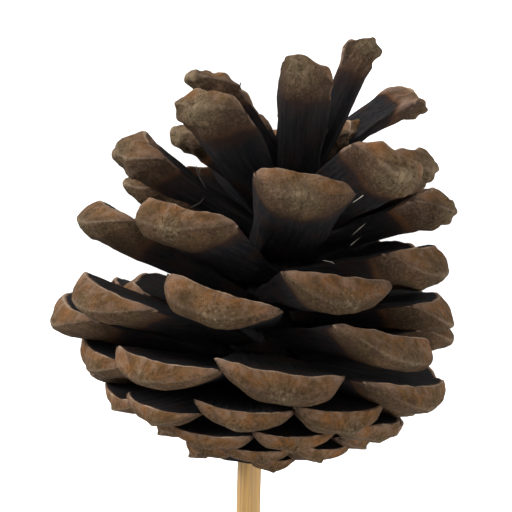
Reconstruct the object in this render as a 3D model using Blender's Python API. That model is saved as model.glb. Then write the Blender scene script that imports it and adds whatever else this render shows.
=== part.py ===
"""An open pine cone on a wooden stick, lying on its back.

The cone is one woody body: a slightly bent core that carries its scales on a golden-angle spiral.
It is modelled upright, with its stem end at the origin, and is then laid on three scale tips. The
stick is a separate round piece in a hole in the core. Sizes are in millimetres up to the last step,
which turns them into metres.
"""

import math
import random

import bmesh
import bpy
import numpy as np
from mathutils import Matrix, Vector

MM = 0.001
NAME = "pine_cone"

# The cone as a whole
SCALE_COUNT = 92
FRONT_SCALE = 44
FRONT_AZIMUTH = 7.0
GOLDEN_ANGLE = 137.508
CORE_HEIGHT = 77.0
CORE_FOOT = 2.0
CORE_FOOT_RADIUS = 9.5
CORE_TIP_RADIUS = 3.0
CORE_BEND = 8.0
CORE_TAPER = 0.8
CORE_RINGS = 8
CORE_SIDES = 12

# The shape of a scale. Shares are of its width or of its thickness.
ROOT_SINK = 3.0
EDGE = 1.2
KEEL_DROP = 0.78
RIM_INSET = 0.15
RIM_DIP = 0.045
MARGIN_INSET = 0.36
BELLY_DEPTH = 0.97
BELLY_AT_ROOT = 0.30
BLUNTNESS = 3.0

# Powers that bend its curves: how it widens outwards, the outline of its end from above, the keel and
# the under face from side to side, and how the under face deepens outwards
WIDENING = 1.15
END_FLATNESS = 3.0
END_ROUNDING = 0.8
KEEL_FULLNESS = 0.75
BELLY_FULLNESS = 0.9
BELLY_GROWTH = 1.3

# The stick, which leans from the core's foot and crosses the core's line at this height
STICK_DIAMETER = 6.0
STICK_FREE_LENGTH = 50.0
STICK_DEPTH = 22.0
STICK_LEAN = 5.6
STICK_CROSSING = 15.0
HOLE_CLEARANCE = 0.3
STICK_SIDES = 32

# How the scales change from the stem end to the tip. Each station gives the scale's place in the
# spiral counted from FRONT_SCALE, the height of its root on the core, its tilt above the plane
# across the core in degrees, its length, width and thickness, the share of its width that it has at
# the root, how far its end bows out, as a share of its width, and how much the end slants in below.
STATIONS = (
    # place, root, tilt, length, width, thickness, neck, bow, slant
    (-44, 5.2, -6.0, 11.0, 10.0, 4.0, 0.50, 0.25, 0.80),
    (-34, 12.3, -6.0, 22.4, 20.0, 5.0, 0.45, 0.25, 0.80),
    (-26, 17.6, -7.0, 28.6, 25.0, 5.6, 0.40, 0.25, 0.80),
    (-18, 20.8, -5.0, 35.7, 26.0, 6.2, 0.36, 0.25, 0.65),
    (-8, 24.5, -1.0, 40.4, 28.0, 7.6, 0.36, 0.25, 0.40),
    (0, 29.5, 5.0, 42.5, 31.0, 9.3, 0.36, 0.25, 0.15),
    (8, 38.0, 15.0, 43.0, 30.0, 10.0, 0.38, 0.25, 0.0),
    (16, 48.0, 24.0, 43.0, 28.0, 10.5, 0.50, 0.28, 0.0),
    (24, 58.0, 32.0, 41.0, 24.0, 10.5, 0.70, 0.34, 0.0),
    (32, 66.0, 45.0, 36.0, 19.0, 10.0, 0.80, 0.42, 0.0),
    (38, 71.0, 55.0, 24.0, 12.0, 6.5, 0.85, 0.45, 0.0),
    (47, 76.0, 75.0, 11.0, 7.0, 4.0, 0.85, 0.45, 0.0),
)

# The scales that show from the front, set one by one as they sit on the real cone, and the three on
# the back that it lies on. Each row gives changes of azimuth, tilt and twist in degrees, and the
# shares of the length and of the width.
ODD_SCALES = {
    -34: (5, -1, 5, 1.01, 0.92),
    -29: (7, -2, -1, 1.01, 0.88),
    -26: (-2, -3, 3, 1.03, 0.93),
    -23: (0, 0, 0, 1.08, 1.0),
    -21: (5, 0, 6, 0.99, 0.83),
    -18: (-2, -2, 2, 0.97, 0.87),
    -16: (4, 3, -4, 1.01, 0.99),
    -15: (0, 1, 0, 1.02, 1.0),
    -13: (2, 2, 3, 0.99, 0.88),
    -11: (0, 6, 0, 0.95, 1.0),
    -10: (-8, 5, 0, 1.05, 1.0),
    -8: (5, 2, 3, 0.98, 0.87),
    -5: (-8, 4, 3, 1.03, 1.02),
    -4: (8, 0, 0, 1.1, 1.0),
    -3: (-4, 4, -3, 1.1, 1.08),
    -2: (0, 4, 0, 1.15, 1.0),
    -1: (0, 0, 0, 1.16, 1.0),
    0: (0, 1, 1, 1.0, 1.0),
    2: (0, 12, 0, 0.98, 0.9),
    3: (-9, 4, -2, 1.14, 1.0),
    5: (5, 3, -7, 1.04, 1.05),
    6: (0, -4, 0, 0.75, 1.0),
    8: (-4, 1, -4, 1.03, 0.98),
    10: (9, -1, -2, 0.95, 0.96),
    11: (-7, 4, 4, 1.12, 0.92),
    13: (2, -1, 1, 1.01, 0.97),
    14: (8, 0, 0, 0.8, 1.0),
    15: (0, 0, 0, 0.85, 1.0),
    16: (-2, -1, 3, 1.12, 0.94),
    17: (-7, 0, 0, 1.06, 1.0),
    18: (9, -3, 2, 0.96, 0.87),
    19: (0, 0, 0, 0.9, 0.85),
    21: (3, 6, 0, 1.12, 0.96),
    22: (10, -8, 0, 0.8, 1.0),
    23: (5, 3, -4, 0.95, 0.95),
    24: (-17, -10, -5, 1.08, 0.75),
    26: (8, 15, -17, 1.17, 0.9),
    27: (-35, -8, 0, 0.85, 1.0),
    28: (0, -8, 0, 0.85, 1.0),
    29: (-22, -2, 6, 1.27, 0.9),
    30: (0, -18, 0, 1.0, 0.9),
    31: (0, -3, 0, 1.01, 0.9),
    32: (-22, -14, 0, 0.85, 0.9),
    33: (0, -16, 0, 0.85, 0.8),
    34: (-24, 7, -7, 1.37, 0.83),
    35: (14, -6, 0, 1.0, 0.8),
    36: (0, 25, 25, 1.5, 0.7),
    37: (-26, -14, 18, 1.5, 1.15),
    39: (-14, 6, 0, 1.84, 0.62),
    40: (-20, -20, 0, 1.0, 1.0),
}

# The side on which a scale's end is blunt: -1 wholly on the left, 1 wholly on the right
BLUNT_SIDES = {
    -5: -0.9, 0: 0.6, 3: -0.9, 5: 0.8, 8: -0.9, 11: -0.6, 13: -0.3, 16: -1.0, 21: -0.9, 26: 0.7, 29: -0.8,
}

# How far a scale bends up from root to tip, in degrees, and how far those bend that differ
BEND = 3.0
BENDS = {24: 8.0, 26: -20.0, 34: 10.0, 36: -55.0, 39: 24.0}

# How much the other scales differ by chance, at most: azimuth, tilt and twist in degrees, the share of
# the length, and the blunt side
SCATTER = (4.0, 4.0, 8.0, 0.05)
BLUNT_SPREAD = 0.6
SEED = 11

CONE_COLOR = (0.13, 0.08, 0.05)
STICK_COLOR = (0.62, 0.45, 0.25)

# Where a scale's surface is sampled: along it, from root to exposed end, and across it
ROWS = (0.0, 0.5, 1.0)
COLUMNS = (-1.0, -0.55, 0.0, 0.55, 1.0)

# How the cone lies on its back: turned back from upright, with its stem end moved to this point
PITCH = -89.8
LYING_AT = (2.1, -29.8, 46.1)

# In metres: the cutter block below the table's plane, and how close points are that become one
TABLE_SIZE = 0.5
MERGE = 0.000001


def station(place):
    """What a scale at a place is like, read between the stations."""
    places = [row[0] for row in STATIONS]
    return [float(np.interp(place, places, values)) for values in list(zip(*STATIONS))[1:]]


def core_point(height):
    """The point on the core's centre line, and how far the line leans there, in radians."""
    turn = math.radians(CORE_BEND) / CORE_HEIGHT
    lean = turn * height
    return Vector(((1 - math.cos(lean)) / turn, 0, math.sin(lean) / turn)), lean


def core_radius(height):
    """The core tapers to its tip."""
    share = height / CORE_HEIGHT
    return CORE_TIP_RADIUS + (CORE_FOOT_RADIUS - CORE_TIP_RADIUS) * (1 - share) ** CORE_TAPER


def core_frame(height, azimuth):
    """Outward, sideways and upward directions on the core at an azimuth measured from the front."""
    centre, lean = core_point(height)
    up = Vector((math.sin(lean), 0, math.cos(lean)))
    right = Vector((math.cos(lean), 0, -math.sin(lean)))
    back = Vector((0, 1, 0))
    outward = right * math.sin(azimuth) - back * math.cos(azimuth)
    sideways = right * math.cos(azimuth) + back * math.sin(azimuth)
    return centre, outward, sideways, up


def scatter(rng):
    """Small changes by chance for a scale that isn't set by itself, in the order of an odd row."""
    turn, lift, twist, longer = (rng.uniform(-most, most) for most in SCATTER)
    return turn, lift, twist, 1 + longer, 1.0


class Scale:
    """One woody scale: where it sits on the core, and its shape."""

    def __init__(self, number):
        self.place = number - FRONT_SCALE
        rng = random.Random(SEED * 1000 + number)
        root, tilt, length, width, thick, self.neck, self.bow, self.slant = station(self.place)
        turn, lift, twist, longer, wider = ODD_SCALES.get(self.place) or scatter(rng)
        self.blunt = BLUNT_SIDES.get(self.place, rng.uniform(-BLUNT_SPREAD, BLUNT_SPREAD))
        self.bend = math.radians(BENDS.get(self.place, BEND))
        self.azimuth = math.radians(FRONT_AZIMUTH - GOLDEN_ANGLE * self.place + turn)
        self.tilt = math.radians(tilt + lift)
        self.twist = math.radians(twist)
        self.root = root
        self.length = length * longer
        self.width = width * wider
        self.thick = thick

    def matrix(self):
        """Places the scale: x out along it, y across it, z towards its upper face."""
        centre, outward, sideways, up = core_frame(self.root, self.azimuth)
        along = outward * math.cos(self.tilt) + up * math.sin(self.tilt)
        over = up * math.cos(self.tilt) - outward * math.sin(self.tilt)
        across = sideways * math.cos(self.twist) + over * math.sin(self.twist)
        over = over * math.cos(self.twist) - sideways * math.sin(self.twist)
        start = centre + outward * (core_radius(self.root) - ROOT_SINK)
        return Matrix((
            (along.x, across.x, over.x, start.x),
            (along.y, across.y, over.y, start.y),
            (along.z, across.z, over.z, start.z),
            (0, 0, 0, 1),
        ))

    def half_width(self, share):
        """Half the width at a share of the length: narrow at the root, full at the corners."""
        return self.width / 2 * (self.neck + (1 - self.neck) * share ** WIDENING)

    def reach(self, t):
        """How far out the end comes: most in the middle, least at the corners."""
        return self.length - self.bow * self.width * (1 - (1 - abs(t) ** END_FLATNESS) ** END_ROUNDING)

    def depth(self, t):
        """The share of its full depth that the end has: none at the corners, one of them blunt."""
        return 1 - abs(t) ** (2 + BLUNTNESS * max(0.0, math.copysign(self.blunt, self.blunt * t)))

    def point(self, x, share, t, z):
        """A point of the scale, carried round the arc that the scale follows."""
        curve = self.bend / self.length
        turn = curve * x
        along = math.sin(turn) / curve - z * math.sin(turn)
        over = (1 - math.cos(turn)) / curve + z * math.cos(turn)
        return Vector((along, t * self.half_width(share), over))

    def keel(self, t):
        """The keel, the scale's outer edge from corner to corner through its middle."""
        drop = KEEL_DROP * self.thick * self.depth(t) ** KEEL_FULLNESS
        return self.point(self.reach(t) - self.slant * drop, 1.0, t, -drop)

    def upper(self, s, t):
        """The upper face from the root, s 0, to the rim above the keel, s 1."""
        x = s * (self.reach(t) - EDGE - RIM_INSET * self.thick * (1 - t * t))
        return self.point(x, s, t, -RIM_DIP * self.width * (1 - t * t) * s)

    def lower(self, s, t):
        """The under face from the root to the lower margin of the exposed end."""
        inset = MARGIN_INSET + self.slant * BELLY_DEPTH
        x = s * (self.reach(t) - EDGE - inset * self.thick * (1 - t * t))
        belly = BELLY_AT_ROOT + (1 - BELLY_AT_ROOT) * s ** BELLY_GROWTH
        z = -EDGE - (BELLY_DEPTH * self.thick - EDGE) * belly * self.depth(t) ** BELLY_FULLNESS
        return self.point(x, s, t, z)


def scale_mesh(scale):
    """A loft through the rows of one scale, closed by its exposed end."""
    mesh = bmesh.new()
    rings = []
    for s in ROWS:
        outline = [scale.upper(s, t) for t in COLUMNS]
        outline += [scale.lower(s, t) for t in reversed(COLUMNS)]
        rings.append([mesh.verts.new(point) for point in outline])
    for inner, outer in zip(rings, rings[1:]):
        for i in range(len(inner)):
            j = (i + 1) % len(inner)
            mesh.faces.new((inner[i], outer[i], outer[j], inner[j]))
    mesh.faces.new(rings[0])
    count = len(COLUMNS)
    rim = rings[-1][:count]
    margin = rings[-1][count:][::-1]
    keel = [mesh.verts.new(scale.keel(t)) for t in COLUMNS]
    for i in range(count - 1):
        mesh.faces.new((rim[i], keel[i], keel[i + 1], rim[i + 1]))
        mesh.faces.new((keel[i], margin[i], margin[i + 1], keel[i + 1]))
    mesh.faces.new((rim[0], margin[0], keel[0]))
    mesh.faces.new((rim[-1], keel[-1], margin[-1]))
    return mesh


def new_object(name, mesh, collection, matrix):
    """An object made from a bmesh, with its points moved by a matrix and its faces turned outward."""
    mesh.transform(matrix)
    bmesh.ops.recalc_face_normals(mesh, faces=mesh.faces)
    data = bpy.data.meshes.new(name)
    mesh.to_mesh(data)
    mesh.free()
    thing = bpy.data.objects.new(name, data)
    collection.objects.link(thing)
    return thing


def core_mesh():
    """The core as a loft of rings that follow its bent centre line."""
    mesh = bmesh.new()
    rings = []
    heights = [CORE_FOOT + (CORE_HEIGHT - CORE_FOOT) * i / CORE_RINGS for i in range(CORE_RINGS + 1)]
    for height in heights:
        rings.append([])
        for i in range(CORE_SIDES):
            centre, outward, _, _ = core_frame(height, math.tau * i / CORE_SIDES)
            rings[-1].append(mesh.verts.new(centre + outward * core_radius(height)))
    for low, high in zip(rings, rings[1:]):
        for i in range(CORE_SIDES):
            j = (i + 1) % CORE_SIDES
            mesh.faces.new((low[i], low[j], high[j], high[i]))
    mesh.faces.new(rings[0][::-1])
    mesh.faces.new(rings[-1])
    return mesh


def rod(top, length, radius):
    """A cylinder on the stick's line, from a height above the stem end down by a length."""
    mesh = bmesh.new()
    bmesh.ops.create_cone(
        mesh, cap_ends=True, segments=STICK_SIDES, radius1=radius, radius2=radius, depth=length)
    lean = Matrix.Rotation(-math.radians(STICK_LEAN), 4, "Y")
    crossing = Matrix.Translation((0, 0, STICK_CROSSING))
    drop = Matrix.Translation((0, 0, top - STICK_CROSSING - length / 2))
    return mesh, crossing @ lean @ drop


def principled(name, color, roughness):
    """A plain material with a colour and a roughness."""
    material = bpy.data.materials.new(name)
    material.use_nodes = True
    shader = material.node_tree.nodes["Principled BSDF"]
    shader.inputs["Base Color"].default_value = (*color, 1.0)
    shader.inputs["Roughness"].default_value = roughness
    shader.inputs["Metallic"].default_value = 0.0
    return material


def apply_modifiers(thing):
    """Replaces an object's mesh with the mesh that its modifiers make."""
    graph = bpy.context.evaluated_depsgraph_get()
    mesh = bpy.data.meshes.new_from_object(thing.evaluated_get(graph))
    thing.modifiers.clear()
    thing.data = mesh


def shell_from(face, left):
    """Takes the closed shell that a face belongs to out of the faces that are left."""
    left.discard(face)
    shell = [face]
    for member in shell:
        for edge in member.edges:
            for near in edge.link_faces:
                if near in left:
                    left.discard(near)
                    shell.append(near)
    return shell


def keep_main_body(thing):
    """Keeps the largest closed shell: sealed hollows fill up and loose scraps go."""
    mesh = bmesh.new()
    mesh.from_mesh(thing.data)
    bmesh.ops.remove_doubles(mesh, verts=mesh.verts, dist=MERGE)
    bmesh.ops.dissolve_degenerate(mesh, edges=mesh.edges, dist=MERGE)
    bmesh.ops.triangulate(mesh, faces=mesh.faces)
    left = set(mesh.faces)
    shells = []
    for face in list(mesh.faces):
        if face in left:
            shells.append(shell_from(face, left))
    shells.sort(key=len)
    loose = [face for shell in shells[:-1] for face in shell]
    bmesh.ops.delete(mesh, geom=loose, context="FACES")
    mesh.to_mesh(thing.data)
    mesh.free()


def cut(thing, cutter):
    """Cuts one object with another."""
    modifier = thing.modifiers.new("cut", "BOOLEAN")
    modifier.operation = "DIFFERENCE"
    modifier.solver = "MANIFOLD"
    modifier.object = cutter
    apply_modifiers(thing)


def make_cone(parts, pose):
    """The core and its scales as one body. The exact solver leaves a doubled edge here."""
    pieces = bpy.data.collections.new("scales")
    bpy.context.scene.collection.children.link(pieces)
    for number in range(SCALE_COUNT):
        scale = Scale(number)
        new_object("scale_%02d" % number, scale_mesh(scale), pieces, pose @ scale.matrix())
    cone = new_object("cone", core_mesh(), parts, pose)
    union = cone.modifiers.new("scales", "BOOLEAN")
    union.operation = "UNION"
    union.solver = "MANIFOLD"
    union.operand_type = "COLLECTION"
    union.collection = pieces
    apply_modifiers(cone)
    for thing in list(pieces.objects):
        bpy.data.objects.remove(thing)
    bpy.data.collections.remove(pieces)
    keep_main_body(cone)
    cone.data.materials.append(principled("cone", CONE_COLOR, 0.8))
    return cone


def make_stick(parts, pose):
    """The round stick, whose inner end stops short of the end of its hole."""
    length = STICK_DEPTH + STICK_FREE_LENGTH
    mesh, matrix = rod(STICK_DEPTH, length, STICK_DIAMETER / 2)
    stick = new_object("stick", mesh, parts, pose @ matrix)
    stick.data.shade_smooth()
    stick.data.set_sharp_from_angle(angle=math.radians(40))
    stick.data.materials.append(principled("stick", STICK_COLOR, 0.6))
    return stick


def make_hole(cutters, pose):
    """The cutter for the stick's hole, which is open at the stem end."""
    length = 2 * STICK_DEPTH
    radius = STICK_DIAMETER / 2 + HOLE_CLEARANCE
    mesh, matrix = rod(STICK_DEPTH + HOLE_CLEARANCE, length, radius)
    return new_object("hole", mesh, cutters, pose @ matrix)


def make_table(cutters):
    """The cutter below the table's plane, which makes the flats that the cone rests on."""
    mesh = bmesh.new()
    bmesh.ops.create_cube(mesh, size=TABLE_SIZE)
    return new_object("table", mesh, cutters, Matrix.Translation((0, 0, -TABLE_SIZE / 2)))


def lying():
    """Turns the upright cone onto its back, so that its front looks up and its tip leads to +Y."""
    turn = Matrix.Rotation(math.radians(PITCH), 4, "X")
    return Matrix.Scale(MM, 4) @ Matrix.Translation(LYING_AT) @ turn


def main():
    for thing in list(bpy.data.objects):
        bpy.data.objects.remove(thing)
    parts = bpy.data.collections.new(NAME)
    cutters = bpy.data.collections.new("cutters")
    for collection in (parts, cutters):
        bpy.context.scene.collection.children.link(collection)
    pose = lying()
    cone = make_cone(parts, pose)
    make_stick(parts, pose)
    hole = make_hole(cutters, pose)
    table = make_table(cutters)
    cut(cone, hole)
    cut(cone, table)
    keep_main_body(cone)
    for cutter in (hole, table):
        cutter.hide_render = True
        cutter.display_type = "WIRE"


if __name__ == "__main__":
    main()
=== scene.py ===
# %% [markdown]
# # An open pine cone on a wooden stick
#
# This script dresses a plain model of a pine cone. The plain model holds the sizes and the places: a
# bent core with 92 woody scales on a golden-angle spiral, and a round stick in a hole at the stem end.
# Here every scale is made again with many more faces and its own finish. Each step is explained before
# its code.
#
# The first step loads the plain model, which is the frame that everything else is placed in.

# %% Load the frame
import math
import random

import bmesh
import bpy
import numpy as np
from mathutils import Matrix, Vector, noise


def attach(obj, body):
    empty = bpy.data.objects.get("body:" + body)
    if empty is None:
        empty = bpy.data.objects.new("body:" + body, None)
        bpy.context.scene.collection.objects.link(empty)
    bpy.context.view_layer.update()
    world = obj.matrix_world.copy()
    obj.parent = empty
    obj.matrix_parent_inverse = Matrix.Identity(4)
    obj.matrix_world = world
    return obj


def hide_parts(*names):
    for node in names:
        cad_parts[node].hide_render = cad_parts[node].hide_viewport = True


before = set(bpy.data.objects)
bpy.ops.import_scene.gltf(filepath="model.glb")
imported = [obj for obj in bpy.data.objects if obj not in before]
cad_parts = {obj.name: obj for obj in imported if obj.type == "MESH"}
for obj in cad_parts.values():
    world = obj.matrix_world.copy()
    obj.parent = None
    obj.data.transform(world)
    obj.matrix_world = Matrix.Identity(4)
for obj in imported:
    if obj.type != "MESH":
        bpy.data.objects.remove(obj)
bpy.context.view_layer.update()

# %% [markdown]
# ## How the cone lies
#
# It is easiest to describe a cone upright, in millimetres, with its stem end at the origin. The real
# part lies on its back, so one matrix turns it over, moves it and changes millimetres to metres. All
# the pieces below are made upright and then go through this matrix.

# %% From upright millimetres to the lying cone in metres
MM = 0.001
PITCH = -89.8
LYING_AT = (2.1, -29.8, 46.1)


def lying():
    """Turns the upright cone onto its back, so that its front looks up and its tip leads to +Y."""
    turn = Matrix.Rotation(math.radians(PITCH), 4, "X")
    return Matrix.Scale(MM, 4) @ Matrix.Translation(LYING_AT) @ turn


POSE = lying()
print("stem end at", [round(v, 4) for v in POSE.translation])

# %% [markdown]
# ## The camera
#
# The picture looks at the upright cone from a little above level, with a small roll, and from far
# away for its size. The camera is placed in the upright frame and goes through the same matrix as the
# cone, so here it looks down on the lying cone. The stem end is what ties it to the picture.

# %% Place the camera
PICTURE_SIZE = 512
LOOK_DOWN = 10.0
ROLL = 7.0
DISTANCE = 750.0
PIXEL = 0.2475  # millimetres across one pixel at the cone
SENSOR_WIDTH = 36.0
STEM_END_PIXEL = (243.5, 462.0)


def camera_axes():
    """Right, up and forward of the camera in the upright frame."""
    down, roll = math.radians(LOOK_DOWN), math.radians(ROLL)
    level_right = Vector((1, 0, 0))
    level_up = Vector((0, math.sin(down), math.cos(down)))
    forward = Vector((0, math.cos(down), -math.sin(down)))
    right = level_right * math.cos(roll) + level_up * math.sin(roll)
    up = level_up * math.cos(roll) - level_right * math.sin(roll)
    return right, up, forward


def place_camera():
    """A camera that sees the stem end at its pixel."""
    right, up, forward = camera_axes()
    from_centre = [pixel - PICTURE_SIZE / 2 for pixel in STEM_END_PIXEL]
    spot = (up * from_centre[1] - right * from_centre[0]) * PIXEL - forward * DISTANCE
    matrix = POSE @ Matrix.Translation(spot)
    turn = POSE.to_3x3().normalized() @ Matrix((right, up, -forward)).transposed()
    lens = bpy.data.cameras.new("camera")
    lens.sensor_width = SENSOR_WIDTH
    lens.lens = SENSOR_WIDTH * DISTANCE / PIXEL / PICTURE_SIZE
    camera = bpy.data.objects.new("camera", lens)
    camera.matrix_world = Matrix.Translation(matrix.translation) @ turn.to_4x4()
    bpy.context.scene.collection.objects.link(camera)
    bpy.context.scene.camera = camera
    return camera


camera = place_camera()
print("camera at", [round(v, 3) for v in camera.location], "lens", round(camera.data.lens, 1), "mm")

# %% [markdown]
# ## Shader maths
#
# A finish that changes over a surface needs a good deal of arithmetic, and a tree of Math nodes is hard
# to read. This small class wraps one socket, so that `1 - mask` or `mask * 0.5` adds the Math nodes by
# itself. Every other node comes from one method, `node`, that first sets the node's settings and then
# its sockets.

# %% A small class for shader maths
class Flow:
    """One output socket of a finish, with arithmetic that adds Math nodes."""

    def __init__(self, finish, socket):
        self.finish, self.socket = finish, socket

    def maths(self, operation, first, second):
        return self.finish.node("ShaderNodeMath", {"operation": operation}, {0: first, 1: second})

    def __add__(self, other):
        return self.maths("ADD", self, other)

    def __radd__(self, other):
        return self.maths("ADD", other, self)

    def __sub__(self, other):
        return self.maths("SUBTRACT", self, other)

    def __rsub__(self, other):
        return self.maths("SUBTRACT", other, self)

    def __mul__(self, other):
        return self.maths("MULTIPLY", self, other)

    def __rmul__(self, other):
        return self.maths("MULTIPLY", other, self)


class Finish:
    """A material in the making."""

    def __init__(self, name):
        self.material = bpy.data.materials.new(name)
        self.material.use_nodes = True
        self.tree = self.material.node_tree
        self.shader = self.tree.nodes["Principled BSDF"]

    def node(self, kind, settings=None, sockets=None, out=0):
        """Adds a node: its settings first, then the values or links of its sockets."""
        made = self.tree.nodes.new(kind)
        for name, value in (settings or {}).items():
            if name == "stops":
                self.set_stops(made.color_ramp, value)
            else:
                setattr(made, name, value)
        for name, value in (sockets or {}).items():
            if isinstance(value, Flow):
                self.tree.links.new(value.socket, made.inputs[name])
            else:
                made.inputs[name].default_value = value
        return Flow(self, made.outputs[out])

    @staticmethod
    def set_stops(ramp, stops):
        """Gives a ramp its (position, grey) stops."""
        while len(ramp.elements) < len(stops):
            ramp.elements.new(1.0)
        for element, (position, grey) in zip(ramp.elements, stops):
            element.position = position
            element.color = (grey, grey, grey, 1.0)

    def steps(self, value, *stops):
        """A value read through (position, grey) stops."""
        return self.node("ShaderNodeValToRGB", {"stops": stops}, {"Fac": value})

    def mix(self, factor, first, second):
        """One colour turning into another. A plain colour is three numbers."""
        pair = [c if isinstance(c, Flow) else (*c, 1.0) for c in (first, second)]
        return self.node("ShaderNodeMix", {"data_type": "RGBA"}, {0: factor, 6: pair[0], 7: pair[1]}, 2)

    def stored(self, name, vector=False):
        """A number or a vector that the mesh carries at its points."""
        return self.node("ShaderNodeAttribute", {"attribute_name": name}, out=1 if vector else 2)

    def stretch(self, vector, by):
        """A vector with each of its parts multiplied."""
        return self.node("ShaderNodeVectorMath", {"operation": "MULTIPLY"}, {0: vector, 1: by})

    def clouds(self, vector, scale, detail=3.0, rough=0.55):
        """Soft noise from 0 to 1."""
        sockets = {"Vector": vector, "Scale": scale, "Detail": detail, "Roughness": rough}
        return self.node("ShaderNodeTexNoise", {}, sockets)

    def connect(self, color, roughness, height, depth):
        """Links the colour, the roughness and the relief. The depth is in metres."""
        bump = self.node("ShaderNodeBump", {}, {"Height": height, "Distance": depth, "Strength": 1.0})
        for name, value in (("Base Color", color), ("Roughness", roughness), ("Normal", bump)):
            self.tree.links.new(value.socket, self.shader.inputs[name])
        return self.material


print("a socket takes part in sums with +, - and *")

# %% [markdown]
# ## The rule that places the scales
#
# On a real cone each scale grows 137.5 degrees round the core from the last one, a little higher up.
# The numbers here are those of the plain model, so the fine scales stand where its solid ones do. A
# scale's size and tilt run smoothly between stations, and the scales that show best in the picture are
# set one by one.

# %% Sizes of the core and of a scale
SCALE_COUNT = 92
FRONT_SCALE = 44
FRONT_AZIMUTH = 7.0
GOLDEN_ANGLE = 137.508
CORE_HEIGHT = 77.0
CORE_FOOT = 2.0
CORE_FOOT_RADIUS = 9.5
CORE_TIP_RADIUS = 3.0
CORE_BEND = 8.0
CORE_TAPER = 0.8

ROOT_SINK = 3.0
EDGE = 1.2
KEEL_DROP = 0.78
RIM_INSET = 0.15
RIM_DIP = 0.045
MARGIN_INSET = 0.36
BELLY_DEPTH = 0.97
BELLY_AT_ROOT = 0.30
BLUNTNESS = 3.0

# powers that bend the curves: widening outwards, the end's outline from above, the rounding at the
# sides, keel and under face from side to side, and how the under face deepens outwards
WIDENING = 1.15
END_FLATNESS = 3.0
END_ROUNDING = 0.8
SIDE_ROUNDING = 12
KEEL_FULLNESS = 0.75
BELLY_FULLNESS = 0.9
BELLY_GROWTH = 1.3

STATIONS = (
    # place, root, tilt, length, width, thickness, neck, bow, slant
    (-44, 5.2, -6.0, 11.0, 10.0, 4.0, 0.50, 0.25, 0.80),
    (-34, 12.3, -6.0, 22.4, 20.0, 5.0, 0.45, 0.25, 0.80),
    (-26, 17.6, -7.0, 28.6, 25.0, 5.6, 0.40, 0.25, 0.80),
    (-18, 20.8, -5.0, 35.7, 26.0, 6.2, 0.36, 0.25, 0.65),
    (-8, 24.5, -1.0, 40.4, 28.0, 7.6, 0.36, 0.25, 0.40),
    (0, 29.5, 5.0, 42.5, 31.0, 9.3, 0.36, 0.25, 0.15),
    (8, 38.0, 15.0, 43.0, 30.0, 10.0, 0.38, 0.25, 0.0),
    (16, 48.0, 24.0, 43.0, 28.0, 10.5, 0.50, 0.28, 0.0),
    (24, 58.0, 32.0, 41.0, 24.0, 10.5, 0.70, 0.34, 0.0),
    (32, 66.0, 45.0, 36.0, 19.0, 10.0, 0.80, 0.42, 0.0),
    (38, 71.0, 55.0, 24.0, 12.0, 6.5, 0.85, 0.45, 0.0),
    (47, 76.0, 75.0, 11.0, 7.0, 4.0, 0.85, 0.45, 0.0),
)

# place: changes of azimuth, tilt and twist in degrees, and shares of the length and of the width
ODD_SCALES = {
    -34: (5, -1, 5, 1.01, 0.92),
    -29: (7, -2, -1, 1.01, 0.88),
    -26: (-2, -3, 3, 1.03, 0.93),
    -23: (0, 0, 0, 1.08, 1.0),
    -21: (5, 0, 6, 0.99, 0.83),
    -18: (-2, -2, 2, 0.97, 0.87),
    -16: (4, 3, -4, 1.01, 0.99),
    -15: (0, 1, 0, 1.02, 1.0),
    -13: (2, 2, 3, 0.99, 0.88),
    -11: (0, 6, 0, 0.95, 1.0),
    -10: (-8, 5, 0, 1.05, 1.0),
    -8: (5, 2, 3, 0.98, 0.87),
    -5: (-8, 4, 3, 1.03, 1.02),
    -4: (8, 0, 0, 1.1, 1.0),
    -3: (-4, 4, -3, 1.1, 1.08),
    -2: (0, 4, 0, 1.15, 1.0),
    -1: (0, 0, 0, 1.16, 1.0),
    0: (0, 1, 1, 1.0, 1.0),
    2: (0, 12, 0, 0.98, 0.9),
    3: (-9, 4, -2, 1.14, 1.0),
    5: (5, 3, -7, 1.04, 1.05),
    6: (0, -4, 0, 0.75, 1.0),
    8: (-4, 1, -4, 1.03, 0.98),
    10: (9, -1, -2, 0.95, 0.96),
    11: (-7, 4, 4, 1.12, 0.92),
    13: (2, -1, 1, 1.01, 0.97),
    14: (8, 0, 0, 0.8, 1.0),
    15: (0, 0, 0, 0.85, 1.0),
    16: (-2, -1, 3, 1.12, 0.94),
    17: (-7, 0, 0, 1.06, 1.0),
    18: (9, -3, 2, 0.96, 0.87),
    19: (0, 0, 0, 0.9, 0.85),
    21: (3, 6, 0, 1.12, 0.96),
    22: (10, -8, 0, 0.8, 1.0),
    23: (5, 3, -4, 0.95, 0.95),
    24: (-17, -10, -5, 1.08, 0.75),
    26: (8, 15, -17, 1.17, 0.9),
    27: (-35, -8, 0, 0.85, 1.0),
    28: (0, -8, 0, 0.85, 1.0),
    29: (-22, -2, 6, 1.27, 0.9),
    30: (0, -18, 0, 1.0, 0.9),
    31: (0, -3, 0, 1.01, 0.9),
    32: (-22, -14, 0, 0.85, 0.9),
    33: (0, -16, 0, 0.85, 0.8),
    34: (-24, 7, -7, 1.37, 0.83),
    35: (14, -6, 0, 1.0, 0.8),
    36: (0, 25, 25, 1.5, 0.7),
    37: (-26, -14, 18, 1.5, 1.15),
    39: (-14, 6, 0, 1.84, 0.62),
    40: (-20, -20, 0, 1.0, 1.0),
}

# the side on which a scale's end is blunt: -1 wholly on the left, 1 wholly on the right
BLUNT_SIDES = {
    -5: -0.9, 0: 0.6, 3: -0.9, 5: 0.8, 8: -0.9, 11: -0.6, 13: -0.3, 16: -1.0, 21: -0.9, 26: 0.7, 29: -0.8,
}

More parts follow.
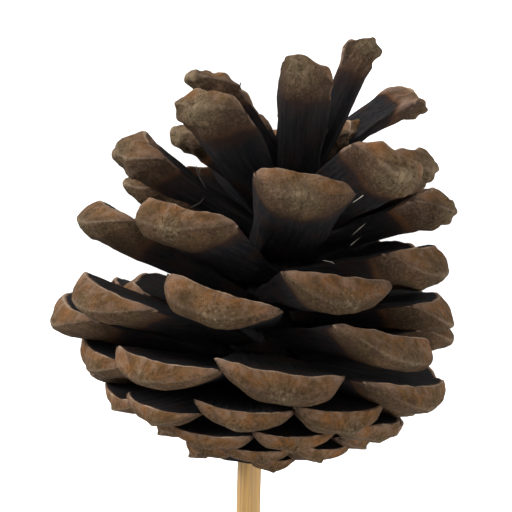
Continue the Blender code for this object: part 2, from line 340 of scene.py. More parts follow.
# how far a scale bends up from root to tip, in degrees, and how far those bend that differ
BEND = 3.0
BENDS = {24: 8.0, 26: -20.0, 34: 10.0, 36: -55.0, 39: 24.0}

# how much the other scales differ by chance, at most: azimuth, tilt, twist, share of the length
SCATTER = (4.0, 4.0, 8.0, 0.05)
BLUNT_SPREAD = 0.6
SEED = 11


def station(place):
    """What a scale at a place is like, read between the stations."""
    places = [row[0] for row in STATIONS]
    return [float(np.interp(place, places, values)) for values in list(zip(*STATIONS))[1:]]


print("scale in front:", station(0))

# %% [markdown]
# ## The core's line
#
# The core bends a little to the right on its way up. Each place on it has an outward, a sideways and an
# upward direction, which carry the scales there.

# %% Directions on the core
def core_point(height):
    """The point on the core's centre line, and how far the line leans there, in radians."""
    turn = math.radians(CORE_BEND) / CORE_HEIGHT
    lean = turn * height
    return Vector(((1 - math.cos(lean)) / turn, 0, math.sin(lean) / turn)), lean


def core_radius(height):
    """The core tapers to its tip."""
    share = height / CORE_HEIGHT
    return CORE_TIP_RADIUS + (CORE_FOOT_RADIUS - CORE_TIP_RADIUS) * (1 - share) ** CORE_TAPER


def core_frame(height, azimuth):
    """Outward, sideways and upward directions on the core at an azimuth measured from the front."""
    centre, lean = core_point(height)
    up = Vector((math.sin(lean), 0, math.cos(lean)))
    right = Vector((math.cos(lean), 0, -math.sin(lean)))
    back = Vector((0, 1, 0))
    outward = right * math.sin(azimuth) - back * math.cos(azimuth)
    sideways = right * math.cos(azimuth) + back * math.sin(azimuth)
    return centre, outward, sideways, up


print("core tip at", [round(v, 1) for v in core_point(CORE_HEIGHT)[0]])

# %% [markdown]
# ## The form of one scale
#
# A scale is a flat dark stalk that ends in a thick woody shield, the part that showed while the cone
# was closed. The shield has an upper edge, the rim, and a keel, its furthest edge, which runs from
# corner to corner below the middle. The under face carries on from the lower margin.
#
# These edges are formulas in `t`, which runs from -1 at one corner to 1 at the other. All of them take
# whole arrays of `t`, so one call gives a curve across the scale.

# %% The edges of a scale
def scatter(rng):
    """Small changes by chance for a scale that isn't set by itself, in the order of an odd row."""
    turn, lift, twist, longer = (rng.uniform(-most, most) for most in SCATTER)
    return turn, lift, twist, 1 + longer, 1.0


class Scale:
    """One woody scale: where it sits on the core, and its shape."""

    def __init__(self, number):
        self.number = number
        self.place = number - FRONT_SCALE
        rng = random.Random(SEED * 1000 + number)
        root, tilt, length, width, thick, self.neck, self.bow, self.slant = station(self.place)
        turn, lift, twist, longer, wider = ODD_SCALES.get(self.place) or scatter(rng)
        self.blunt = BLUNT_SIDES.get(self.place, rng.uniform(-BLUNT_SPREAD, BLUNT_SPREAD))
        self.bend = math.radians(BENDS.get(self.place, BEND))
        self.azimuth = math.radians(FRONT_AZIMUTH - GOLDEN_ANGLE * self.place + turn)
        self.tilt = math.radians(tilt + lift)
        self.twist = math.radians(twist)
        self.root = root
        self.length = length * longer
        self.width = width * wider
        self.thick = thick

    def matrix(self):
        """Places the scale: x out along it, y across it, z towards its upper face."""
        centre, outward, sideways, up = core_frame(self.root, self.azimuth)
        along = outward * math.cos(self.tilt) + up * math.sin(self.tilt)
        over = up * math.cos(self.tilt) - outward * math.sin(self.tilt)
        across = sideways * math.cos(self.twist) + over * math.sin(self.twist)
        over = over * math.cos(self.twist) - sideways * math.sin(self.twist)
        start = centre + outward * (core_radius(self.root) - ROOT_SINK)
        turn = Matrix((along, across, over)).transposed()
        return Matrix.Translation(start) @ turn.to_4x4()

    def half_width(self, share):
        """Half the width at a share of the length: narrow at the root, full at the corners."""
        return self.width / 2 * (self.neck + (1 - self.neck) * share ** WIDENING)

    def reach(self, t):
        """How far out the end comes: most in the middle, least at the corners."""
        return self.length - self.bow * self.width * (1 - (1 - abs(t) ** END_FLATNESS) ** END_ROUNDING)

    def depth(self, t):
        """The share of its full depth that the end has: none at the corners, one of them blunt."""
        return 1 - abs(t) ** (2 + BLUNTNESS * np.maximum(0, self.blunt * np.sign(t)))

    def points(self, x, share, t, z):
        """Points of the scale, carried round the arc that the scale follows."""
        curve = self.bend / self.length
        turn = curve * x
        along = np.sin(turn) / curve - z * np.sin(turn)
        over = (1 - np.cos(turn)) / curve + z * np.cos(turn)
        return np.stack([along, t * self.half_width(share), over], axis=1)

    def keel(self, t):
        """The keel, the scale's outer edge from corner to corner through its middle."""
        drop = KEEL_DROP * self.thick * self.depth(t) ** KEEL_FULLNESS
        z = -drop - EDGE / 2 * abs(t) ** SIDE_ROUNDING
        return self.points(self.reach(t) - self.slant * drop, 1.0, t, z)

    def upper(self, s, t):
        """Across the upper face at a share of the length. At 1 it is the rim."""
        x = s * (self.reach(t) - EDGE - RIM_INSET * self.thick * (1 - t * t))
        return self.points(x, s, t, -RIM_DIP * self.width * (1 - t * t) * s)

    def lower(self, s, t):
        """Across the under face at a share of the length. At 1 it is the lower margin."""
        inset = MARGIN_INSET + self.slant * BELLY_DEPTH
        x = s * (self.reach(t) - EDGE - inset * self.thick * (1 - t * t))
        belly = BELLY_AT_ROOT + (1 - BELLY_AT_ROOT) * s ** BELLY_GROWTH
        z = -EDGE - (BELLY_DEPTH * self.thick - EDGE) * belly * self.depth(t) ** BELLY_FULLNESS
        return self.points(x, s, t, z)


print("front scale:", round(Scale(FRONT_SCALE).length, 1), "mm long")

# %% [markdown]
# ## From edges to a rounded surface
#
# A loft through these curves would be all flat facets and hard corners. Real scales are rounded, tightly
# at the rim and softly elsewhere. A uniform cubic B-spline does just that: it stays close to its
# control curves where they are close together and cuts the corner where they are far apart. So the
# control curves crowd at the rim.
#
# The curves run from the root along the upper face, over the rim, down the shield to the keel, and back
# under to the root. Each upper curve has a partner below, and the pair is drawn together at the sides,
# so that the surface closes there with a round edge.

# %% Control curves and the spline through them
BODY_SHARES = (0.0, 0.04, 0.3, 0.6, 0.85, 0.965, 1.0)
SHIELD_SHARES = (0.06, 0.5, 0.9)
SHIELD_BULGE = 0.07


def control_curves(scale, t):
    """The control curves from the upper root round the keel to the lower root."""
    upper = [scale.upper(s, t) for s in BODY_SHARES]
    lower = [scale.lower(s, t) for s in BODY_SHARES]
    keel = scale.keel(t)
    rim, margin = upper[-1], lower[-1]
    hump = (1 - t * t)[:, None]
    for share in SHIELD_SHARES:
        bulge = SHIELD_BULGE * scale.thick * 4 * share * (1 - share)
        upper.append(rim + (keel - rim) * share + hump * np.array([bulge, 0, bulge / 2]))
        lower.append(margin + (keel - margin) * share + hump * np.array([bulge / 3, 0, -bulge / 3]))
    round_side = np.sqrt(1 - abs(t) ** SIDE_ROUNDING)
    for over, under in zip(upper, lower):
        middle = (over[:, 2] + under[:, 2]) / 2
        half = (over[:, 2] - under[:, 2]) / 2 * round_side
        over[:, 2], under[:, 2] = middle + half, middle - half
    return np.array(upper + [keel] + lower[::-1])


def spline(curves, at):
    """Rows of a uniform cubic B-spline, at places counted in curves."""
    first = np.clip(np.floor(at).astype(int), 1, len(curves) - 3)
    u = (at - first)[:, None, None]
    weights = ((1 - u) ** 3, 3 * u ** 3 - 6 * u ** 2 + 4, -3 * u ** 3 + 3 * u ** 2 + 3 * u + 1, u ** 3)
    return sum(w * curves[first - 1 + i] for i, w in enumerate(weights)) / 6


print("control curves of a scale:", len(control_curves(Scale(FRONT_SCALE), np.zeros(1))))

# %% [markdown]
# ## A grid wrapped like a pillow case
#
# The surface is a grid of rows along the scale and columns across it. The upper and the lower half have
# the same rows in mirror order. They share their side points and the keel, so the mesh is closed
# everywhere but at the root, which gets a cap inside the core.

# %% The grid of one scale
COLUMNS = 42
ROWS_A_CURVE = 4
SIDE_CROWDING = 0.45  # 0 spaces the columns evenly, 1 crowds them at the sides


def scale_grid(scale):
    """Points, t values and row places of a scale, as rows of columns from upper to lower root."""
    u = np.linspace(-1, 1, COLUMNS + 1)
    t = (1 - SIDE_CROWDING) * u + SIDE_CROWDING * np.sin(u * math.pi / 2)
    curves = control_curves(scale, t)
    middle = len(curves) // 2
    at = np.linspace(1, len(curves) - 2, 2 * (middle - 1) * ROWS_A_CURVE + 1)
    return spline(curves, at), t, at


def weld(rows, columns):
    """For each place in the grid, the number of its point, with the two halves joined at the sides."""
    number = np.arange(rows * columns).reshape(rows, columns)
    for side in (0, -1):
        number[rows // 2 + 1:, side] = number[:rows // 2, side][::-1]
    kept, flat = np.unique(number, return_inverse=True)
    return kept, flat.reshape(rows, columns)


def grid_faces(number):
    """The faces of the welded grid, and the cap at its root."""
    a, b, c, d = number[:-1, :-1], number[1:, :-1], number[1:, 1:], number[:-1, 1:]
    faces = np.stack([a, b, c, d], axis=2).reshape(-1, 4).tolist()
    cap = number[0].tolist() + number[-1][1:-1][::-1].tolist()
    return faces + [cap]


sample, _, _ = scale_grid(Scale(FRONT_SCALE))
print("one scale:", sample.shape[0], "rows of", sample.shape[1])

# %% [markdown]
# ## Noise and soft steps
#
# Wear and growth are never even. Smooth noise gives a value that drifts from place to place, and a soft
# step turns a measure, such as a distance, into a share from 0 to 1 without a hard line. Both are used
# from here on for the form of the scales and for the numbers that the finish reads.

# %% Two helpers for uneven things
def noise_at(points, size, shift):
    """Smooth noise at each point. The size is one length or one for each direction."""
    places = points / np.broadcast_to(np.array(size, float), 3) + shift
    return np.array([noise.noise(Vector(p)) for p in places])


def soft_step(low, high, value):
    """0 at low, 1 at high, and smooth between them."""
    share = np.clip((value - low) / (high - low), 0, 1)
    return share * share * (3 - 2 * share)


print("noise near the origin:", round(float(noise_at(np.ones((1, 3)), 3.0, 0.5)[0]), 3))

# %% [markdown]
# ## What the finish needs to know
#
# The finish has to tell shield from stalk. Each point carries a few numbers for it: how far it belongs
# to the shield, how high it lies between keel and rim, how close it is to the lines along rim and keel,
# where a highlight is painted, to a corner and to the boss, and the scale's own coordinates, tone and
# warmth. A painted image could say the same, but it would need unwrapping, and numbers at the points are
# exact and small.
#
# Below the shield the stalk is bare too, in the form of a V. It is short in the crown and longer on the
# scales that point sideways.

# %% Which way a scale points, and where it grows
CROWN_PLACES = (16, 27)  # the scales turn into the narrow ones of the crown between these places


def crown_share(scale):
    """0 on most scales, 1 on the narrow ones of the crown."""
    return float(soft_step(*CROWN_PLACES, scale.place))


def sideways_share(scale):
    """0 on a scale that points to the front or to the back, 1 on one that points sideways."""
    return math.sin(scale.azimuth) ** 2


def rim_place(middle):
    """The rim's place, counted in curves as the keel's place in the middle is."""
    return middle - len(SHIELD_SHARES) - 1


print("crown share of the last scale:", crown_share(Scale(SCALE_COUNT - 1)))

# %% The shield and the bare V below it
RIM_FADE = (0.8, 0.3)  # the shield fades in between these places before the rim, counted in curves
CAP_LENGTH = 7.0
CAP_SOLID = 0.3  # the share of a crown scale's cap that is wholly bare
V_LENGTH = 9.0
V_LOSS_IN_CROWN = 6.0
V_GAIN_SIDEWAYS = 4.0
V_CURVE = 0.7
V_SOLID = 0.35
FADE_LENGTH = 8.0
LEAST_FADE = 2.5
FADE_IN_CROWN = 0.9


def shield_share(scale, grid, at, middle, t):
    """1 on the shield and on the V of bare wood below it, fading to 0 along the stalk."""
    rim_at = rim_place(middle)
    crown, sideways = crown_share(scale), sideways_share(scale)
    on_top = soft_step(rim_at - RIM_FADE[0], rim_at - RIM_FADE[1], at)[:, None] * np.ones_like(t)
    from_rim = scale.upper(1.0, t)[:, 0] - grid[:, :, 0]
    on_top = np.maximum(on_top, crown * (1 - soft_step(CAP_SOLID, 1.0, from_rim / CAP_LENGTH)))
    reach = (V_LENGTH - V_LOSS_IN_CROWN * crown) * (1 - abs(t)) ** V_CURVE
    reach = reach + V_GAIN_SIDEWAYS * sideways * (1 - crown)
    fade = FADE_LENGTH * max(sideways, FADE_IN_CROWN * crown) + LEAST_FADE
    behind = scale.lower(1.0, t)[:, 0] - grid[:, :, 0]
    below = 1 - soft_step(0.0, 1.0, (behind - V_SOLID * reach) / ((1 - V_SOLID) * reach + fade))
    return np.where((at <= middle)[:, None], on_top, below)


print("bare V:", V_LENGTH, "mm at the front,", V_LENGTH + V_GAIN_SIDEWAYS, "mm at the sides")

# %% Rim and keel lines with a painted highlight, corners and the height on the shield
RIM_LINE_AT = 0.1
RIM_LINE_WIDTH = 0.30
KEEL_LINE_WIDTH = 0.6
# how strongly the keel carries nibbles and a painted highlight, more on scales that point sideways
KEEL_HIGHLIGHT_AND_NIBBLES = 0.05
KEEL_HIGHLIGHT_AND_NIBBLES_SIDEWAYS = 0.20
CORNER_POWER = 5


def edge_share(scale, at, middle, t):
    """1 on the rim and, more weakly, on the keel of a scale that points sideways. It carries nibbles in
    the relief and a painted highlight in the finish.
    """
    rim = np.exp(-((at - rim_place(middle) - RIM_LINE_AT) / RIM_LINE_WIDTH) ** 2)
    keel_highlight_and_nibbles = KEEL_HIGHLIGHT_AND_NIBBLES + KEEL_HIGHLIGHT_AND_NIBBLES_SIDEWAYS * sideways_share(scale)
    keel = keel_highlight_and_nibbles * np.exp(-((at - middle) / KEEL_LINE_WIDTH) ** 2)
    return (rim + keel)[:, None] * np.ones_like(t)


def band_share(at, middle, t):
    """0 at the keel and below it, 1 at the rim and above it."""
    return np.clip((middle - at) / (middle - rim_place(middle)), 0, 1)[:, None] * np.ones_like(t)


def grid_shares(scale, grid, t, at):
    """The shares that depend on where in its grid a point of the scale lies."""
    middle = (at[0] + at[-1]) / 2
    return {
        "shield": shield_share(scale, grid, at, middle, t),
        "edge": edge_share(scale, at, middle, t),
        "band": band_share(at, middle, t),
        "corner": np.abs(t) ** CORNER_POWER * np.ones((len(at), 1)),
    }


for name, share in grid_shares(Scale(FRONT_SCALE), *scale_grid(Scale(FRONT_SCALE))).items():
    print(name, "share of the front scale:", round(float(share.mean()), 2))

# %% [markdown]
# ## The boss and what differs by chance
#
# In the middle of the keel sits the boss, the small rough knob with which the scale began to grow. The
# finish needs the distance from it, and coordinates that run out from it like spokes. Each scale draws
# the place of its boss, the piece of noise that it reads, its tone and its warmth, always in that order,
# so that a cone made again looks the same.

# %% The smooth scale with its numbers
CHANCE_SEED = 7000
BOSS_WANDER = 0.15
BOSS_DROP = 0.13
BOSS_FLATNESS = 0.8
BOSS_SPREAD = 0.36
BOSS_GAIN_IN_CROWN = 0.14
NOISE_RANGE = 90
SPOKE_TURN = 3
SPOKE_STRETCH = 0.12
LEAST_WARMTH = 0.4


def scale_chance(scale):
    """The random draws of a scale: place of the boss, shift of the noise, tone and warmth."""
    rng = random.Random(CHANCE_SEED + scale.number)
    boss_t = rng.uniform(-BOSS_WANDER, BOSS_WANDER)
    shift = np.array([rng.uniform(0, NOISE_RANGE) for _ in range(3)])
    tone = rng.random()
    warmth = rng.uniform(LEAST_WARMTH, 1.0) * sideways_share(scale)
    return boss_t, shift, tone, warmth


def boss_centre(scale, boss_t):
    """The middle of the rough boss, a little below the keel."""
    return scale.keel(np.array([boss_t]))[0] - np.array((0, 0, BOSS_DROP * scale.thick))


def spoke_coordinates(from_boss, away):
    """Coordinates that change round the boss and hardly at all away from it."""
    angle = np.arctan2(from_boss[:, 2], from_boss[:, 1])
    return np.stack([SPOKE_TURN * np.cos(angle), SPOKE_TURN * np.sin(angle), SPOKE_STRETCH * away], axis=1)


def smooth_scale(scale):
    """Welded points, faces, stored numbers, distances from the boss and the shift of the noise."""
    boss_t, shift, tone, warmth = scale_chance(scale)
    grid, t, at = scale_grid(scale)
    kept, welded = weld(*grid.shape[:2])
    points = grid.reshape(-1, 3)[kept]
    stored = {name: share.reshape(-1)[kept] for name, share in grid_shares(scale, grid, t, at).items()}
    from_boss = points - boss_centre(scale, boss_t)
    away = np.linalg.norm(from_boss * (1, 1, BOSS_FLATNESS), axis=1)
    crown = crown_share(scale)
    spread = (BOSS_SPREAD + BOSS_GAIN_IN_CROWN * crown) * scale.thick
    stored["boss"] = np.exp(-(away / spread) ** 2)
    for name, value in (("crown", crown), ("tone", tone), ("warmth", warmth)):
        stored[name] = np.full(len(points), value)
    stored["grain"] = points + shift
    stored["spokes"] = spoke_coordinates(from_boss, away) + shift
    return points, grid_faces(welded), stored, away, shift


print("each point carries:", ", ".join(smooth_scale(Scale(FRONT_SCALE))[2]))

# %% [markdown]
# ## Wear and growth on a scale
#
# No two scales are alike. Each gets soft lumps, a rough boss at the middle of its keel, wrinkles that
# run out from the boss, and long grooves on the stalk. They are real relief in the mesh, from smooth
# noise that is read in the scale's own millimetres. The tips of the crown are knobbly and have a lip.
# The scales near the stem keep the small sharp prickle of the boss. A sculpted model or a displacement
# modifier could do the same, but a formula stays the same each time and follows each scale's own size.

# %% Relief
# heights and sizes in millimetres
FULL_THICKNESS = 9.0  # thinner scales have less relief
LUMPS = 0.45
LUMP_SIZE = (11, 8, 8)
CROWN_LUMPS = 2.4  # how many times as lumpy the scales of the crown are
LUMPY_PLACES = (12, 28)
SMALL_LUMPS = 0.9
SMALL_LUMP_SIZE = 3.6
GROOVES = 0.20
GROOVE_SIZE = (16, 1.1, 2.5)
WRINKLES = 0.16
WRINKLE_START = (1, 5)  # the wrinkles fade in at these distances from the boss
NIBBLES = 0.30
NIBBLE_SIZE = 1.7
CAP_LUMPS = 1.9
CAP_LUMP_SIZE = 2.6
CAP_LIP = 0.5
CAP_REACH = 7.0
CRUMBS = 0.20
CRUMB_SIZE = 1.2
LEAST_CRUMBS = 0.3
BOSS_HEIGHT = 0.9
BOSS_SIZE = 2.6
LEAST_BOSS = 0.4


def relief(scale, points, stored, away, shift):
    """How far each point stands out from the smooth surface, in millimetres."""
    shield, edge = stored["shield"], stored["edge"]
    size = min(1.0, scale.thick / FULL_THICKNESS)
    lumps = LUMPS * size * np.interp(scale.place, LUMPY_PLACES, (1, CROWN_LUMPS))
    out = lumps * noise_at(points, LUMP_SIZE, shift)
    out += shield * SMALL_LUMPS * lumps * noise_at(points, SMALL_LUMP_SIZE, shift)
    out += (1 - shield) * GROOVES * noise_at(points, GROOVE_SIZE, shift)
    out += shield * WRINKLES * soft_step(*WRINKLE_START, away) * noise_at(stored["spokes"], 1.0, 0.0)
    out += edge * NIBBLES * noise_at(points, NIBBLE_SIZE, shift)
    cap = crown_share(scale) * np.exp(-(away / CAP_REACH) ** 2)
    out += cap * (CAP_LUMPS * noise_at(points, CAP_LUMP_SIZE, shift) + CAP_LIP * edge)
    out += (LEAST_CRUMBS + stored["boss"]) * CRUMBS * noise_at(points, CRUMB_SIZE, shift)
    out += size * BOSS_HEIGHT * np.exp(-(away / (BOSS_SIZE * size + LEAST_BOSS)) ** 2)
    return out


front = Scale(FRONT_SCALE)
front_points, _, front_stored, front_away, front_shift = smooth_scale(front)
front_relief = relief(front, front_points, front_stored, front_away, front_shift)
print("relief of the front scale: up to", round(float(front_relief.max()), 2), "mm")

# %% The prickle
PRICKLE_PLACES = (-8, -20)
PRICKLE_HEIGHT = 1.1
PRICKLE_SIZE = 0.75


def prickle(scale, away):
    """How far the small sharp tip comes out that the scales near the stem keep on their boss."""
    share = soft_step(*PRICKLE_PLACES, scale.place)
    return share * PRICKLE_HEIGHT * np.exp(-(away / PRICKLE_SIZE) ** 2)


print("prickle of the lowest scale:", prickle(Scale(0), 0.0), "mm")

# %% [markdown]
# ## Scales into meshes
#
# The relief moves every point along its own outward normal, so the normals are needed before there is a
# piece. A small mesh that is thrown away gives them. After the relief the scale goes to its place on
# the core.

# %% One finished scale
def outward(points, faces):
    """Faces turned outward, and the outward normal at each point."""
    mesh = bmesh.new()
    corners = [mesh.verts.new(p) for p in points]
    for face in faces:
        mesh.faces.new([corners[i] for i in face])
    bmesh.ops.recalc_face_normals(mesh, faces=mesh.faces)
    mesh.normal_update()
    mesh.verts.index_update()
    normals = np.array([v.normal for v in mesh.verts])
    turned = [[v.index for v in face.verts] for face in mesh.faces]
    mesh.free()
    return turned, normals


def finished_scale(number):
    """Points in upright millimetres, faces and stored numbers of a scale with its relief."""
    scale = Scale(number)
    points, faces, stored, away, shift = smooth_scale(scale)
    faces, normals = outward(points, faces)
    points = points + normals * relief(scale, points, stored, away, shift)[:, None]
    points[:, 0] += prickle(scale, away)
    matrix = scale.matrix()
    return [matrix @ Vector(p) for p in points], faces, stored


print("a finished scale:", len(finished_scale(FRONT_SCALE)[0]), "points")

# %% [markdown]
# ## Scales gathered in four pieces
#
# Ninety-two separate objects would be slow to handle. The scales are gathered in four meshes, from the
# stem end to the crown. The few tips that reach below the table are cut there, which makes the small
# flats that the cone rests on.

# %% Gathered scales
GROUPS = {
    "scales_foot": range(0, 26),
    "scales_belly": range(26, 52),
    "scales_shoulder": range(52, 74),
    "scales_crown": range(74, SCALE_COUNT),
}


def new_piece(name, points, faces, stored):
    """An object from points in upright millimetres, with the numbers that its points carry."""
    turned = np.array([POSE @ Vector(p) for p in points])
    mesh = bpy.data.meshes.new(name)
    mesh.from_pydata(turned.tolist(), [], faces)
    mesh.shade_smooth()
    for key, values in stored.items():
        wide = values.ndim == 2
        layer = mesh.attributes.new(key, "FLOAT_VECTOR" if wide else "FLOAT", "POINT")
        layer.data.foreach_set("vector" if wide else "value", values.astype(np.float32).ravel())
    piece = bpy.data.objects.new(name, mesh)
    bpy.context.scene.collection.objects.link(piece)
    return piece


def cut_at_table(piece):
    """Takes off what is below the table and closes the cuts."""
    mesh = bmesh.new()
    mesh.from_mesh(piece.data)
    everything = list(mesh.verts) + list(mesh.edges) + list(mesh.faces)
    bmesh.ops.bisect_plane(
        mesh, geom=everything, plane_co=(0, 0, 0), plane_no=(0, 0, 1), clear_inner=True)
    rims = [edge for edge in mesh.edges if edge.is_boundary]
    bmesh.ops.holes_fill(mesh, edges=rims, sides=0)
    mesh.to_mesh(piece.data)
    mesh.free()


def gather(name, numbers):
    """One piece from many scales."""
    all_points, all_faces, all_stored = [], [], {}
    for number in numbers:
        points, faces, stored = finished_scale(number)
        all_faces += [[i + len(all_points) for i in face] for face in faces]
        all_points += points
        for key, values in stored.items():
            all_stored.setdefault(key, []).append(values)
    piece = new_piece(name, all_points, all_faces, {k: np.concatenate(v) for k, v in all_stored.items()})
    if min(v.co.z for v in piece.data.vertices) < 0:
        cut_at_table(piece)
    return piece


scale_pieces = [gather(name, numbers) for name, numbers in GROUPS.items()]
for piece in scale_pieces:
    print(piece.name, len(piece.data.vertices), "points")

# %% [markdown]
# ## Loose fibres
#
# A few dry splinters and hairs cling to the cone: one stands up in the gap at the left, one pokes out
# of a tip, and some thin ones lie across the dark stalks at the right. Each has one end on a scale or
# on another fibre. Hair curves are the usual way to make such fine things, but an export may drop them.
# A thin tube with three sides, drawn through a few points in upright millimetres, is enough here.

# %% Splinters and hairs
SPLINTERS = {
    "dark": (
        ((-16.5, -14.2, 67.0), (-17.3, -13.8, 69.5), (-19.0, -13.4, 71.7), (-20.1, -12.9, 74.4)),
        ((-19.0, -13.4, 71.7), (-18.9, -13.1, 73.1), (-18.5, -13.0, 73.9)),
        ((-16.6, -15.0, 68.1), (-18.0, -13.6, 65.3), (-20.5, -11.9, 63.4)),
        ((-12.1, -15.7, 93.2), (-11.8, -15.5, 94.2), (-11.7, -15.3, 95.6)),
    ),
    "pale": (
        ((18.0, -6.4, 59.5), (20.1, -8.9, 62.2), (22.2, -9.7, 64.8)),
        ((19.1, -6.7, 58.2), (20.7, -6.4, 59.9), (22.1, -7.5, 61.9)),
        ((17.9, -19.7, 70.7), (19.1, -22.5, 72.2), (20.3, -24.9, 73.8)),
        ((12.6, -17.4, 55.8), (15.0, -17.4, 55.6), (17.2, -17.5, 54.5)),
    ),
}
SPLINTER_RADIUS = {"dark": 0.22, "pale": 0.12}
TUBE_SIDES = 3
TUBE_RINGS = 7


def tube(path, radius):
    """A thin tube that comes to a point at both ends."""
    path = np.array(path)
    along = path[-1] - path[0]
    across = np.cross(along, (0, 1, 0))
    across /= np.linalg.norm(across)
    other = np.cross(along / np.linalg.norm(along), across)
    inner = np.linspace(0, len(path) - 1, TUBE_RINGS + 2)[1:-1]
    rings = [
        [np.interp(k, range(len(path)), path[:, axis]) for axis in range(3)]
        + radius * (math.cos(a) * across + math.sin(a) * other)
        for k in inner for a in [i * math.tau / TUBE_SIDES for i in range(TUBE_SIDES)]
    ]
    first, last, end = len(rings), len(rings) + 1, len(rings) - TUBE_SIDES
    sides = [(i, (i + 1) % TUBE_SIDES) for i in range(TUBE_SIDES)]
    starts = range(0, end, TUBE_SIDES)
    faces = [[k + i, k + j, k + TUBE_SIDES + j, k + TUBE_SIDES + i] for k in starts for i, j in sides]
    faces += [[first, j, i] for i, j in sides]
    faces += [[last, end + i, end + j] for i, j in sides]
    return rings + [path[0], path[-1]], faces


def make_splinters(tone):
    """One piece with all the fibres of a tone."""
    points, faces = [], []
    for path in SPLINTERS[tone]:
        ring_points, ring_faces = tube(path, SPLINTER_RADIUS[tone])
        faces += [[i + len(points) for i in face] for face in ring_faces]
        points += ring_points
    faces, _ = outward([Vector(p) for p in points], faces)
    return new_piece("fibres_" + tone, points, faces, {"grain": np.array(points)})


fibre_pieces = {tone: make_splinters(tone) for tone in SPLINTERS}
print("loose fibres:", sum(len(paths) for paths in SPLINTERS.values()))

# %% [markdown]
# ## The stick's line
#
# The stick leans a little in its hole, so both the hole and the stick are made of rings round a leaning
# line. One matrix holds that line, and rings of any height and radius go through it.

# %% Rings round the stick's line
STICK_DIAMETER = 6.0
STICK_FREE_LENGTH = 50.0
STICK_DEPTH = 22.0
STICK_LEAN = 5.6
STICK_CROSSING = 15.0  # the height at which the stick's line crosses the upright one


def stick_matrix():
    """From the stick's own millimetres, with z along it, to upright ones."""
    lean = Matrix.Rotation(-math.radians(STICK_LEAN), 4, "Y")
    return Matrix.Translation((0, 0, STICK_CROSSING)) @ lean


def stick_ring(height, radius, sides):
    """A ring round the stick's line, at a height above the stem end measured along it."""
    matrix = stick_matrix()
    turns = [math.tau * i / sides - math.pi / 2 for i in range(sides)]
    level = height - STICK_CROSSING
    return [matrix @ Vector((radius * math.cos(a), radius * math.sin(a), level)) for a in turns]


def lofted(rings):
    """Points and faces through rings, with a cap at each end."""
    sides = len(rings[0])
    points = np.array([p for ring in rings for p in ring])
    faces = []
    for r in range(len(rings) - 1):
        for i in range(sides):
            j = (i + 1) % sides
            faces.append([r * sides + i, r * sides + j, (r + 1) * sides + j, (r + 1) * sides + i])
    faces.append(list(range(sides))[::-1])
    faces.append([(len(rings) - 1) * sides + i for i in range(sides)])
    return points, faces


free_end = stick_matrix() @ Vector((0, 0, -STICK_FREE_LENGTH - STICK_CROSSING))
print("free end of the stick:", [round(v, 1) for v in free_end])

# %% [markdown]
# ## The core
#
# Little of the core shows: glimpses between the scales, and its foot round the stick. A profile turned
# round an axis would do for a straight core. This one bends, so it is a loft of rings on the core's
# line, with bark-like relief. At the foot the surface turns in and lines the hole for the stick, so that
# the gap round the stick is a real one.

# %% Core
HOLE_CLEARANCE = 0.3
HOLE_RADIUS = STICK_DIAMETER / 2 + HOLE_CLEARANCE
HOLE_HEIGHTS = (4, 8, 14, STICK_DEPTH + HOLE_CLEARANCE)
CORE_RINGS = 60
CORE_SIDES = 56
FOOT_SHARES = (0.35, 0.7, 1.0)  # rings across the foot, from its edge to the hole
FOOT_BARK = (0.7, 0.3, 0.0)  # how much of the bark's relief they keep
BARK = 0.5
BARK_SIZE = (3, 3, 6)
BARK_SHIFT = 3.1
FINE_BARK = 0.3
FINE_BARK_SIZE = 1.3
FINE_BARK_SHIFT = 9.7
CORE_TONE = 0.5
CORE_GRAIN_SHIFT = 40.0


def core_rings():
    """Rings from the tip down the outside, across the foot and up the hole."""
    rings = []
    for i in range(CORE_RINGS + 1):
        height = CORE_HEIGHT + (CORE_FOOT - CORE_HEIGHT) * i / CORE_RINGS
        ring = []
        for side in range(CORE_SIDES):
            centre, out, _, _ = core_frame(height, math.tau * side / CORE_SIDES)
            ring.append(centre + out * core_radius(height))
        rings.append(ring)
    edge_ring, hole_ring = rings[-1], stick_ring(CORE_FOOT, HOLE_RADIUS, CORE_SIDES)
    for share in FOOT_SHARES:
        rings.append([a.lerp(b, share) for a, b in zip(edge_ring, hole_ring)])
    return rings + [stick_ring(height, HOLE_RADIUS, CORE_SIDES) for height in HOLE_HEIGHTS]


def make_core():
    """The core with its bark."""
    points, faces = lofted(core_rings())
    faces, normals = outward(points, faces)
    kept_bark = [1.0] * (CORE_RINGS + 1) + list(FOOT_BARK) + [0.0] * len(HOLE_HEIGHTS)
    bark = BARK * noise_at(points, BARK_SIZE, BARK_SHIFT)
    bark = bark + FINE_BARK * noise_at(points, FINE_BARK_SIZE, FINE_BARK_SHIFT)
    points = points + normals * (np.repeat(kept_bark, CORE_SIDES) * bark)[:, None]
    zero = np.zeros(len(points))
    grain = points[:, ::-1] + CORE_GRAIN_SHIFT
    stored = {"shield": zero, "edge": zero, "boss": zero, "tone": zero + CORE_TONE}
    return new_piece("core", points, faces, {**stored, "grain": grain, "spokes": grain})


core = make_core()
print("core:", len(core.data.vertices), "points")

# %% [markdown]
# ## The stick
#
# A plain round stick of pale wood, cut square at its free end. A bare cylinder would be too perfect,
# because the grain of a real dowel leaves faint flutes along it. Those are in the mesh, and the finer
# grain is in the finish.

# %% Stick
STICK_SIDES = 72
STICK_ROWS = 48
CHAMFER = 0.25
FLUTES = 0.07
FLUTE_SIZE = (0.9, 0.9, 30)
FLUTE_SHIFT = 5.3
FLUTE_SINK = 0.6  # the flutes lie mostly below the round surface
SHARP_ABOVE = 50.0  # degrees between two faces


